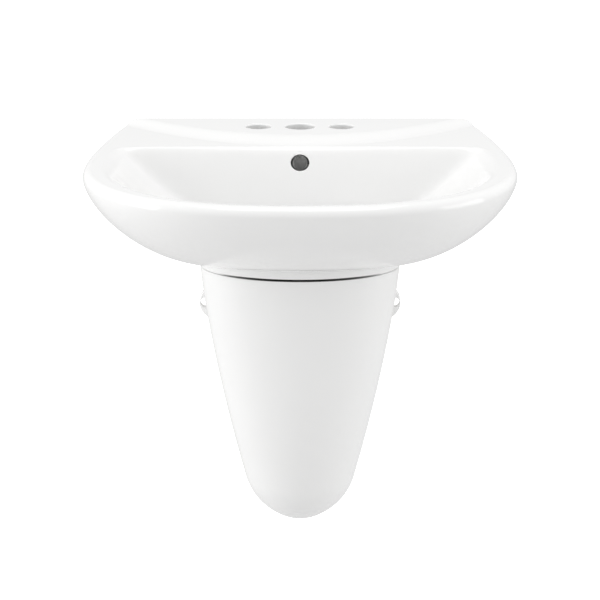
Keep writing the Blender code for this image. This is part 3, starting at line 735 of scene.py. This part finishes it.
def make_waste():
    chrome, brass = finish_of("chrome_plate"), finish_of("brass")
    at = (0, DRAIN_Y, 0)
    flange = z_at(FLOOR_DROP) + 2 * FIT_GAP + GASKET_THICK
    bottom = z_at(BOSS_DROP) - 0.032
    profile = [(FLANGE_R, flange + FLANGE_THICK), (FLANGE_R, flange), (WASTE_R, flange), (WASTE_R, bottom),
               (WASTE_BORE, bottom), (WASTE_BORE, flange - 0.004), (0.0184, flange - 0.0018),
               (0.0215, flange + 0.0022), (0.0280, flange + FLANGE_CROWN)]
    body = turned("waste_body", profile, chrome, at, closed=True)
    slots = box("overflow_slots", (0.010, 0.06, 0.012), (0, DRAIN_Y, z_at(SLOT_DROP)))
    carve(body, [("DIFFERENCE", slots)])
    fitting(body, "waste_body")

    low = flange + FLANGE_CROWN + STOPPER_TRAVEL + 0.0014  # the raised cap's rim
    shares = np.linspace(0, 1, 14)
    cap = [((CAP_R - 0.0010) * t, low + 0.0052 - CAP_DOME * t ** 2.6) for t in shares]
    cap += [(CAP_R - 0.0003, low + 0.0015), (CAP_R, low + 0.0008), (CAP_R - 0.0004, low), (0.0205, low),
            (CAP_FOOT_R, low - 0.0030), (0.0105, low - 0.0030), (0, low - 0.0030)]
    fitting(turned("stopper_cap", cap, chrome, at), "stopper_cap", "stopper")

    nut_top = z_at(BOSS_DROP) - 3 * FIT_GAP - 0.0075  # under the rubber ring and the washer
    place, bore = (0, DRAIN_Y, nut_top - LOCKNUT_HIGH / 2), WASTE_R + FIT_GAP
    lock = hex_nut("waste_locknut", LOCKNUT_ACROSS, LOCKNUT_HIGH, bore, place, "Z", brass)
    fitting(lock, "waste_locknut")
    dress(("flange_gasket", "seat_gasket", "friction_washer", "latch_cartridge", "stopper_seal",
           "stopper_plunger", "stopper_spring"))


# ---------------------------------------------------------------- trap

def make_trap():
    chrome, brass = finish_of("chrome_plate"), finish_of("brass")
    in_y, out_y = DRAIN_Y, DRAIN_Y + 2 * TRAP_RADIUS
    middle_y = DRAIN_Y + TRAP_RADIUS
    hub_in, hub_out = z_at(HUB_IN_DROP), z_at(HUB_OUT_DROP)
    tail = [(0, in_y, z_at(BOSS_DROP) - 0.020), (0, in_y, hub_in - 0.022)]
    stands_for(tube("tailpiece", tail, TUBE_R, TUBE_WALL, chrome), "tailpiece")

    bend = [(0, in_y, hub_in), (0, in_y, z_at(TRAP_DROP))]
    bend += arc_yz(middle_y, z_at(TRAP_DROP), TRAP_RADIUS, 180, 360, 65)[1:]
    bend.append((0, out_y, hub_out))
    trap = tube("trap_bend", bend, HUB_R, HUB_WALL, chrome)
    lowest = z_at(TRAP_DROP) - TRAP_RADIUS - HUB_R
    carve(trap, [("UNION", cylinder("cleanout_seat", PLUG_SEAT_R, 0.006, (0, middle_y, lowest))),
                 ("DIFFERENCE", cylinder("cleanout_hole", PLUG_HOLE_R, 0.02, (0, middle_y, lowest)))])
    stands_for(trap, "trap_bend")
    head = lowest - 0.003 - 2 * FIT_GAP - GASKET_THICK
    plug = [(0, head + 0.010), (PLUG_R, head + 0.010), (PLUG_R, head), (PLUG_SEAT_R, head),
            (PLUG_SEAT_R, head - 0.003), (0.0060, head - 0.003), (0.0060, head - 0.008), (0, head - 0.008)]
    fitting(turned("cleanout_plug", plug, brass, (0, middle_y, 0)), "cleanout_plug")

    bend_z = z_at(ARM_DROP)
    arm = [(0, out_y, hub_out - 0.020), (0, out_y, bend_z - TRAP_RADIUS)]
    arm += arc_yz(out_y + TRAP_RADIUS, bend_z - TRAP_RADIUS, TRAP_RADIUS, 180, 90, 33)[1:]
    arm.append((0, -FIT_GAP, bend_z))
    stands_for(tube("trap_arm", arm, TUBE_R, TUBE_WALL, chrome), "trap_arm")
    flange = [(COVER_R, 0.0), (COVER_R, -0.0012)]
    flange += [(0.034 - 0.013 * t, -0.005 - (COVER_DEEP - 0.005) * t ** 1.6) for t in np.linspace(0, 1, 9)]
    flange += [(0.017, -COVER_DEEP), (0.017, 0.0)]
    cover = turned("wall_escutcheon", flange, chrome, (0, 0, bend_z), INTO_WALL, closed=True)
    fitting(cover, "wall_escutcheon")
    slip_nut("trap_inlet_nut", in_y, hub_in, chrome)
    slip_nut("trap_outlet_nut", out_y, hub_out, chrome)
    dress(("trap_inlet_washer", "trap_outlet_washer", "cleanout_gasket"))


def slip_nut(node, y, top, mat):
    """A slip-joint nut: a skirt over the hub, a shoulder over the washer and eight finger ribs."""
    skirt, shoulder = HUB_R + FIT_GAP, TUBE_R + 2 * FIT_GAP
    roof, bottom = top + 0.006 + FIT_GAP, top - SLIP_NUT_SKIRT
    profile = [(0.0195, roof + SLIP_NUT_ROOF), (SLIP_NUT_R, roof + 0.0004), (SLIP_NUT_R, bottom),
               (skirt, bottom), (skirt, roof), (shoulder, roof), (shoulder, roof + SLIP_NUT_ROOF)]
    obj = turned(node, profile, mat, (0, y, 0), closed=True)
    ribs = []
    rib_r = SLIP_NUT_R + 0.0003
    for i in range(8):
        turn = math.radians(22.5 + 45 * i)
        middle = (rib_r * math.cos(turn), y + rib_r * math.sin(turn), top - 0.004)
        ribs.append(("UNION", box(node + "_rib_" + str(i), (0.003, 0.004, 0.018), middle, (0, 0, turn))))
    carve(obj, ribs)
    fitting(obj, node)


# ---------------------------------------------------------------- wall bolts

def make_wall_bolts():
    steel, nylon = finish_of("zinc_steel"), finish_of("white_nylon")
    for side, name in ((-1, "left"), (1, "right")):
        place = (side * BOLT_X, 0, 0)
        tip, core = BOLT_R * 0.5, BOLT_R * 0.86
        thread = [(0, BOLT_IN_WALL), (tip, BOLT_IN_WALL - 0.004)]
        for i in range(BOLT_THREADS):
            z = BOLT_IN_WALL - 0.007 - BOLT_PITCH * i
            thread += [(BOLT_R, z), (core, z - 0.0022)]
        thread += [(BOLT_R, 0.010), (BOLT_R, -BOLT_OUT + 0.001), (BOLT_R - 0.001, -BOLT_OUT), (0, -BOLT_OUT)]
        bolt = turned("hanger_bolt", thread, steel, place, INTO_WALL)
        stands_for(bolt, "hanger_bolt_" + name)

        start, head = -WALL - 3 * FIT_GAP, -WALL - BUSH_HEAD
        inner, outer = BOLT_R + FIT_GAP, BOLT_HOLE_R - FIT_GAP
        profile = [(inner, head), (inner, -0.001), (outer, -0.001),
                   (outer, start), (BUSH_R, start), (BUSH_R, head)]
        bush = turned("bolt_bush", profile, nylon, place, INTO_WALL, closed=True)
        fitting(bush, "bolt_bush_" + name)

        near = head - FIT_GAP
        far = near - BOLT_WASHER_THICK
        profile = [(BOLT_WASHER_R, near), (BOLT_WASHER_R, far), (inner, far), (inner, near)]
        washer = turned("bolt_washer", profile, steel, place, INTO_WALL, closed=True)
        fitting(washer, "bolt_washer_" + name)
        middle = (side * BOLT_X, far - FIT_GAP - BOLT_NUT_HIGH / 2, 0)
        nut = hex_nut("bolt_nut", BOLT_NUT_ACROSS, BOLT_NUT_HIGH, inner, middle, "Y", steel)
        fitting(nut, "bolt_nut_" + name)


# ---------------------------------------------------------------- shader nodes

GROUPS = {}


def group(name, inputs, outputs):
    """An empty shader group with these sockets, and its input and output nodes."""
    made = bpy.data.node_groups.new(name, "ShaderNodeTree")
    for label, default in inputs.items():
        socket = made.interface.new_socket(label, in_out="INPUT", socket_type="NodeSocketFloat")
        socket.default_value = default
    for label in outputs:
        made.interface.new_socket(label, in_out="OUTPUT", socket_type="NodeSocketFloat")
    return made, made.nodes.new("NodeGroupInput"), made.nodes.new("NodeGroupOutput")


def node(tree, kind, settings=(), **links):
    """A node with its settings, whose inputs take a value or come from a socket."""
    made = tree.nodes.new("ShaderNode" + kind)
    for key, value in dict(settings).items():
        setattr(made, key, value)
    for key, value in links.items():
        spot = int(key[1:]) if key[0] == "_" and key[1:].isdigit() else key.replace("_", " ")
        socket = made.inputs[spot]
        if isinstance(value, bpy.types.NodeSocket):
            tree.links.new(value, socket)
        else:
            socket.default_value = value
    return made


def maths(tree, operation, *values):
    """What this operation makes of one value or two."""
    made = node(tree, "Math", {"operation": operation}, **{"_" + str(i): v for i, v in enumerate(values)})
    return made.outputs[0]


def object_place(tree):
    return node(tree, "TexCoord").outputs["Object"]


def noise(tree, place, scale, detail, roughness=0.5):
    return node(tree, "TexNoise", Vector=place, Scale=scale, Detail=detail, Roughness=roughness).outputs[0]


def glaze_group():
    """Long waves and a fine orange peel in a glaze, and a soft cloud where it lies thicker."""
    inputs = {"Waves": 9.0, "Peel": 420.0, "Peel Share": 0.12}
    tree, given, out = group("glaze_skin", inputs, ("Height", "Thickness"))
    place = object_place(tree)
    waves = noise(tree, place, given.outputs["Waves"], 2.0, 0.4)
    peel = noise(tree, place, given.outputs["Peel"], 1.0)
    fine = maths(tree, "MULTIPLY", peel, given.outputs["Peel Share"])
    tree.links.new(maths(tree, "ADD", waves, fine), out.inputs["Height"])
    cloud = noise(tree, place, 4.0, 3.0, 0.55)
    spread = node(tree, "MapRange", {"interpolation_type": "SMOOTHSTEP"}, Value=cloud,
                  From_Min=0.35, From_Max=0.65)
    tree.links.new(spread.outputs[0], out.inputs["Thickness"])
    return tree


def grain_group():
    """Fine grain and larger patches, for clay, rubber, nylon and plated metal."""
    tree, given, out = group("surface_grain", {"Grain": 1500.0, "Patches": 40.0}, ("Height", "Patches"))
    place = object_place(tree)
    tree.links.new(noise(tree, place, given.outputs["Grain"], 2.0, 0.6), out.inputs["Height"])
    patches = noise(tree, place, given.outputs["Patches"], 4.0, 0.6)
    tree.links.new(ranged(tree, patches, 0.0, 1.0, 0.3, 0.7), out.inputs["Patches"])
    return tree


def lathe_group():
    """Turning marks: fine rings across a piece's own axis."""
    tree, given, out = group("turning_marks", {"Rings": 2600.0}, ("Height",))
    height = node(tree, "SeparateXYZ", Vector=object_place(tree)).outputs["Z"]
    level = node(tree, "CombineXYZ", Z=height).outputs[0]
    tree.links.new(noise(tree, level, given.outputs["Rings"], 1.0), out.inputs["Height"])
    return tree


def use(tree, name, make, **values):
    """The shared group of this name, built on first use, placed in a material with its own values."""
    if name not in GROUPS:
        GROUPS[name] = make()
    placed = tree.nodes.new("ShaderNodeGroup")
    placed.node_tree = GROUPS[name]
    for key, value in values.items():
        placed.inputs[key.replace("_", " ")].default_value = value
    return placed


def blank(name, metallic=0.0, roughness=0.5, ior=1.5):
    """A node material with its Principled shader, whose plain values are set on the shader itself."""
    made = bpy.data.materials.new(name)
    made.use_nodes = True
    tree = made.node_tree
    shader = tree.nodes["Principled BSDF"]
    shader.inputs["Metallic"].default_value = metallic
    shader.inputs["Roughness"].default_value = roughness
    shader.inputs["IOR"].default_value = ior
    return made, tree, shader


def mixed(tree, factor, one, two):
    """A colour between one and two by factor."""
    mix = tree.nodes.new("ShaderNodeMix")
    mix.data_type = "RGBA"
    tree.links.new(factor, mix.inputs[0])
    for socket, value in ((mix.inputs[6], one), (mix.inputs[7], two)):
        if isinstance(value, bpy.types.NodeSocket):
            tree.links.new(value, socket)
        else:
            socket.default_value = (*value, 1.0)
    return mix.outputs[2]


def ranged(tree, value, low, high, start=0.0, stop=1.0):
    """The value's run from start to stop spread between low and high."""
    made = node(tree, "MapRange", Value=value, From_Min=start, From_Max=stop, To_Min=low, To_Max=high)
    return made.outputs[0]


def bumped(tree, shader, height, distance, strength=1.0):
    bump = node(tree, "Bump", Height=height)
    bump.inputs["Distance"].default_value = distance
    bump.inputs["Strength"].default_value = strength
    tree.links.new(bump.outputs[0], shader.inputs["Normal"])


def painted(tree, shader, tone, roughness):
    tree.links.new(tone, shader.inputs["Base Color"])
    tree.links.new(roughness, shader.inputs["Roughness"])


def shade(value, by):
    return tuple(min(1.0, part * by) for part in value)


# ---------------------------------------------------------------- finishes

def china():
    """White glaze over clay: softly rippled, a little darker where thin, stopping short of the wall, with
    painted shadow in the gap over the pedestal and painted shade inside the overflow.
    """
    look = bpy.context.scene.washbasin_china
    made, tree, shader = blank("glazed_china", ior=1.52)
    skin = use(tree, "glaze_skin", glaze_group)
    clay = use(tree, "surface_grain", grain_group, Grain=1400.0, Patches=70.0)
    tone = mixed(tree, skin.outputs["Thickness"], shade(look.glaze, 0.985), tuple(look.glaze))
    bare = mixed(tree, clay.outputs["Patches"], tuple(look.clay), shade(look.clay, 0.9))
    place = object_place(tree)
    split = node(tree, "SeparateXYZ", Vector=place)
    offset = ranged(tree, noise(tree, place, 60.0, 2.0), -0.0005, 0.0005)
    line = maths(tree, "ADD", split.outputs["Y"], offset)
    stop = ranged(tree, line, 0.0, 1.0, -look.glaze_stop, -look.glaze_stop + 0.0003)
    skin_tone = mixed(tree, stop, tone, bare)
    # painted shadow: the mask where the gap between the collar and the pedestal is painted near-black
    joint = joint_mask(tree, split)
    # painted shade: masks for the grey throat and the darker ring painted inside the overflow
    throat, ring_shade_mask = overflow_masks(tree, place)
    inside = mixed(tree, ring_shade_mask, tuple(look.throat), tuple(look.throat_ring))
    # painted shadow: the gap's shade is painted over the glaze here
    gap_shade_painted = mixed(tree, joint, skin_tone, tuple(look.joint))
    glossy = ranged(tree, skin.outputs["Thickness"], look.roughness * 1.25, look.roughness)
    rough = node(tree, "Mix", _0=stop, _2=glossy, _3=0.8)
    painted(tree, shader, mixed(tree, throat, gap_shade_painted, inside), rough.outputs[0])
    height = node(tree, "Mix", _0=stop, _2=skin.outputs["Height"], _3=clay.outputs["Height"])
    bumped(tree, shader, height.outputs[0], look.ripple * 10, 0.1)
    return made


def joint_mask(tree, split):
    """1 on the faces in the gap between the collar and the pedestal, where its shadow is painted near-black,
    fading out at the sides.
    """
    half = (SHROUD_TOP - COLLAR_DROP) / 2 + 0.0002
    off = maths(tree, "SUBTRACT", split.outputs["Z"], z_at((COLLAR_DROP + SHROUD_TOP) / 2))
    near = ranged(tree, maths(tree, "ABSOLUTE", off), 1.0, 0.0, half, half + 0.0004)
    front = ranged(tree, split.outputs["Y"], 1.0, 0.0, -JOINT_END - JOINT_FADE, -JOINT_END)
    return maths(tree, "MULTIPLY", near, front)


def overflow_masks(tree, place):
    """1 inside the overflow's throat and 1 on the ring near its wall: where a grey shade and a darker shade
    are painted.
    """
    lean = math.atan(BACK_SLOPE)
    axis = (0, -math.cos(lean), math.sin(lean))
    mouth = (0, -BOWL_BACK - BACK_SLOPE * (OVERFLOW_DROP - RIM_DROP), z_at(OVERFLOW_DROP))
    away = node(tree, "VectorMath", {"operation": "SUBTRACT"}, _0=place, _1=mouth).outputs[0]
    along = node(tree, "VectorMath", {"operation": "DOT_PRODUCT"}, _0=away, _1=axis).outputs["Value"]
    across = node(tree, "VectorMath", {"operation": "CROSS_PRODUCT"}, _0=away, _1=axis).outputs[0]
    radius = node(tree, "VectorMath", {"operation": "LENGTH"}, _0=across).outputs["Value"]
    # painted shade: the throat grey goes from just inside the mouth to this depth, the darker ring close to
    # the hole's wall
    close_r, deep = OVERFLOW_R + 0.0025, 0.018
    entered = ranged(tree, along, 1.0, 0.0, -0.0014, -0.0006)
    close = ranged(tree, radius, 1.0, 0.0, close_r, close_r + 0.0005)
    shallow = ranged(tree, along, 0.0, 1.0, -deep - 0.004, -deep)
    throat = maths(tree, "MULTIPLY", maths(tree, "MULTIPLY", entered, close), shallow)
    return throat, ranged(tree, radius, 0.0, 1.0, OVERFLOW_R - 0.0026, OVERFLOW_R - 0.0018)


def plated(name, base, roughness, smear, scale, turned_marks=0.0):
    """Plated or machined metal: its gloss dulls in soft smears, with turning marks where it was turned."""
    made, tree, shader = blank(name, metallic=1.0)
    grain = use(tree, "surface_grain", grain_group, Grain=1800.0, Patches=scale)
    tone = mixed(tree, grain.outputs["Patches"], base, shade(base, 0.92))
    painted(tree, shader, tone, ranged(tree, grain.outputs["Patches"], roughness, roughness + smear))
    if turned_marks:
        marks = use(tree, "turning_marks", lathe_group)
        bumped(tree, shader, marks.outputs["Height"], turned_marks)
    else:
        bumped(tree, shader, grain.outputs["Height"], 0.00001, 0.2)
    return made


def moulded(name, base, roughness, grain_height):
    """Rubber or nylon from a mould: a fine grain, and patches a little lighter and duller."""
    made, tree, shader = blank(name)
    grain = use(tree, "surface_grain", grain_group, Grain=2200.0, Patches=55.0)
    tone = mixed(tree, grain.outputs["Patches"], base, tuple(min(1.0, c * 1.04 + 0.012) for c in base))
    painted(tree, shader, tone, ranged(tree, grain.outputs["Patches"], roughness, roughness + 0.12))
    bumped(tree, shader, grain.outputs["Height"], grain_height)
    return made


MATERIALS = {}


def finish_of(slot):
    """The material of a slot in the record, built on first use."""
    if not MATERIALS:
        look = bpy.context.scene.washbasin_fittings
        MATERIALS.update(
            white_china=china(),
            chrome_plate=plated("chrome_plate", tuple(look.chrome), 0.05, 0.07, 30.0),
            brass=plated("machined_brass", tuple(look.brass), 0.22, 0.14, 45.0, 0.00002),
            spring_steel=plated("spring_steel", tuple(look.spring), 0.28, 0.1, 80.0),
            zinc_steel=plated("zinc_plate", tuple(look.zinc), 0.3, 0.18, 120.0),
            black_rubber=moulded("black_rubber", tuple(look.rubber), 0.62, 0.00005),
            white_nylon=moulded("white_nylon", tuple(look.nylon), 0.4, 0.00002),
        )
    return MATERIALS[slot]


def dress(nodes):
    """CAD nodes that stay: each takes its slot's finish."""
    slots = {part["node"]: part["material_slot"] for part in frame["record"]["subparts"]}
    for name in nodes:
        obj = frame["nodes"][name]
        for spot in obj.material_slots:
            spot.material = finish_of(slots[name])


# ---------------------------------------------------------------- stage

def make_stage():
    look = bpy.context.scene.washbasin_stage
    floor_shape = bmesh.new()
    bmesh.ops.create_circle(floor_shape, cap_ends=True, segments=128, radius=FLOOR_R)
    made, tree, shader = blank("pale_floor", roughness=0.8)
    grain = use(tree, "surface_grain", grain_group, Grain=300.0, Patches=2.0)
    tone = mixed(tree, grain.outputs["Patches"], tuple(look.floor), shade(look.floor, 0.99))
    tree.links.new(tone, shader.inputs["Base Color"])
    path = tree.nodes.new("ShaderNodeLightPath")  # seen from above it is plain white
    tree.links.new(path.outputs["Is Camera Ray"], shader.inputs["Emission Color"])
    shader.inputs["Emission Strength"].default_value = 1.0
    clear = tree.nodes.new("ShaderNodeBsdfTransparent")
    side = tree.nodes.new("ShaderNodeNewGeometry")
    mix = tree.nodes.new("ShaderNodeMixShader")
    tree.links.new(side.outputs["Backfacing"], mix.inputs[0])
    tree.links.new(shader.outputs[0], mix.inputs[1])
    tree.links.new(clear.outputs[0], mix.inputs[2])
    tree.links.new(mix.outputs[0], tree.nodes["Material Output"].inputs["Surface"])
    floor = from_bmesh("floor", floor_shape, made)
    floor.location.z = FLOOR_Z

    world = bpy.data.worlds.new("studio")
    world.use_nodes = True
    tree = world.node_tree
    sky = tree.nodes["Background"]
    sky.inputs["Color"].default_value = (1, 1, 1, 1)
    sky.inputs["Strength"].default_value = look.sky
    seen = tree.nodes.new("ShaderNodeBackground")  # plain white behind the object
    seen.inputs["Color"].default_value = (1, 1, 1, 1)
    path = tree.nodes.new("ShaderNodeLightPath")
    mix = tree.nodes.new("ShaderNodeMixShader")
    tree.links.new(path.outputs["Is Camera Ray"], mix.inputs[0])
    tree.links.new(sky.outputs[0], mix.inputs[1])
    tree.links.new(seen.outputs[0], mix.inputs[2])
    tree.links.new(mix.outputs[0], tree.nodes["World Output"].inputs["Surface"])
    bpy.context.scene.world = world

    for name, power, size, place in (
        ("left_soft_box", look.key, SIDE_BOX_SIZE, (-SIDE_BOX_OUT, -0.7, 0.2)),
        ("right_soft_box", look.fill, SIDE_BOX_SIZE, (SIDE_BOX_OUT, -0.7, 0.2)),
        ("top_soft_box", look.top, TOP_BOX_SIZE, (0.0, -0.4, TOP_BOX_UP)),
    ):
        lamp = bpy.data.lights.new(name, "AREA")
        lamp.shape = "SQUARE"
        lamp.size = size
        lamp.energy = power
        obj = bpy.data.objects.new(name, lamp)
        obj.location = place
        obj.rotation_euler = (LIGHTS_AIM - Vector(place)).to_track_quat("-Z", "Y").to_euler()
        bpy.context.scene.collection.objects.link(obj)

    camera = bpy.data.objects.new("camera", bpy.data.cameras.new("camera"))
    camera.location = (0, -look.distance, look.height)
    camera.rotation_euler = (math.pi / 2 - look.pitch, 0, 0)
    camera.data.lens = look.lens
    camera.data.sensor_width = 36.0
    bpy.context.scene.collection.objects.link(camera)
    bpy.context.scene.camera = camera
    bpy.context.scene.view_settings.view_transform = "Standard"


# ---------------------------------------------------------------- operators and panel

class WASHBASIN_OT_basin(bpy.types.Operator):
    """Makes the glazed basin with its bowl, tap ledge, holes and overflow"""

    bl_idname = "washbasin.basin"
    bl_label = "Basin"

    def execute(self, context):
        make_basin(finish_of("white_china"))
        return {"FINISHED"}


class WASHBASIN_OT_half_pedestal(bpy.types.Operator):
    """Makes the glazed half pedestal with its two fixing ears"""

    bl_idname = "washbasin.half_pedestal"
    bl_label = "Half pedestal"

    def execute(self, context):
        make_half_pedestal(finish_of("white_china"))
        return {"FINISHED"}


class WASHBASIN_OT_waste(bpy.types.Operator):
    """Makes the push-button waste with its stopper, nut and seals"""

    bl_idname = "washbasin.waste"
    bl_label = "Waste"

    def execute(self, context):
        make_waste()
        return {"FINISHED"}


class WASHBASIN_OT_trap(bpy.types.Operator):
    """Makes the tube trap with its nuts, its cleanout plug and the arm to the wall"""

    bl_idname = "washbasin.trap"
    bl_label = "Trap"

    def execute(self, context):
        make_trap()
        return {"FINISHED"}


class WASHBASIN_OT_wall_bolts(bpy.types.Operator):
    """Makes the two wall bolts with their bushes, washers and nuts"""

    bl_idname = "washbasin.wall_bolts"
    bl_label = "Wall bolts"

    def execute(self, context):
        make_wall_bolts()
        return {"FINISHED"}


class WASHBASIN_OT_stage(bpy.types.Operator):
    """Makes the floor, the soft lights and the camera"""

    bl_idname = "washbasin.stage"
    bl_label = "Stage"

    def execute(self, context):
        make_stage()
        return {"FINISHED"}


class WASHBASIN_PT_panel(bpy.types.Panel):
    """Lists the pieces and their settings"""

    bl_idname = "WASHBASIN_PT_panel"
    bl_label = "Washbasin"
    bl_space_type = "VIEW_3D"
    bl_region_type = "UI"
    bl_category = "Washbasin"

    def draw(self, context):
        for operator in OPERATORS:
            self.layout.operator(operator.bl_idname)
        for _, name in SETTINGS:
            column = self.layout.column()
            settings = getattr(context.scene, name)
            for key in settings.bl_rna.properties.keys():
                if key not in ("rna_type", "name"):
                    column.prop(settings, key)


OPERATORS = (
    WASHBASIN_OT_basin, WASHBASIN_OT_half_pedestal, WASHBASIN_OT_waste,
    WASHBASIN_OT_trap, WASHBASIN_OT_wall_bolts, WASHBASIN_OT_stage,
)
SETTINGS = (
    (ChinaSettings, "washbasin_china"),
    (FittingSettings, "washbasin_fittings"),
    (StageSettings, "washbasin_stage"),
)


def register():
    for group_class, name in SETTINGS:
        bpy.utils.register_class(group_class)
        setattr(bpy.types.Scene, name, bpy.props.PointerProperty(type=group_class))
    for made in (*OPERATORS, WASHBASIN_PT_panel):
        bpy.utils.register_class(made)


def unregister():
    for made in (WASHBASIN_PT_panel, *reversed(OPERATORS)):
        bpy.utils.unregister_class(made)
    for group_class, name in reversed(SETTINGS):
        delattr(bpy.types.Scene, name)
        bpy.utils.unregister_class(group_class)


def main():
    register()
    bpy.ops.washbasin.basin()
    bpy.ops.washbasin.half_pedestal()
    bpy.ops.washbasin.waste()
    bpy.ops.washbasin.trap()
    bpy.ops.washbasin.wall_bolts()
    bpy.ops.washbasin.stage()


if __name__ == "__main__":
    main()
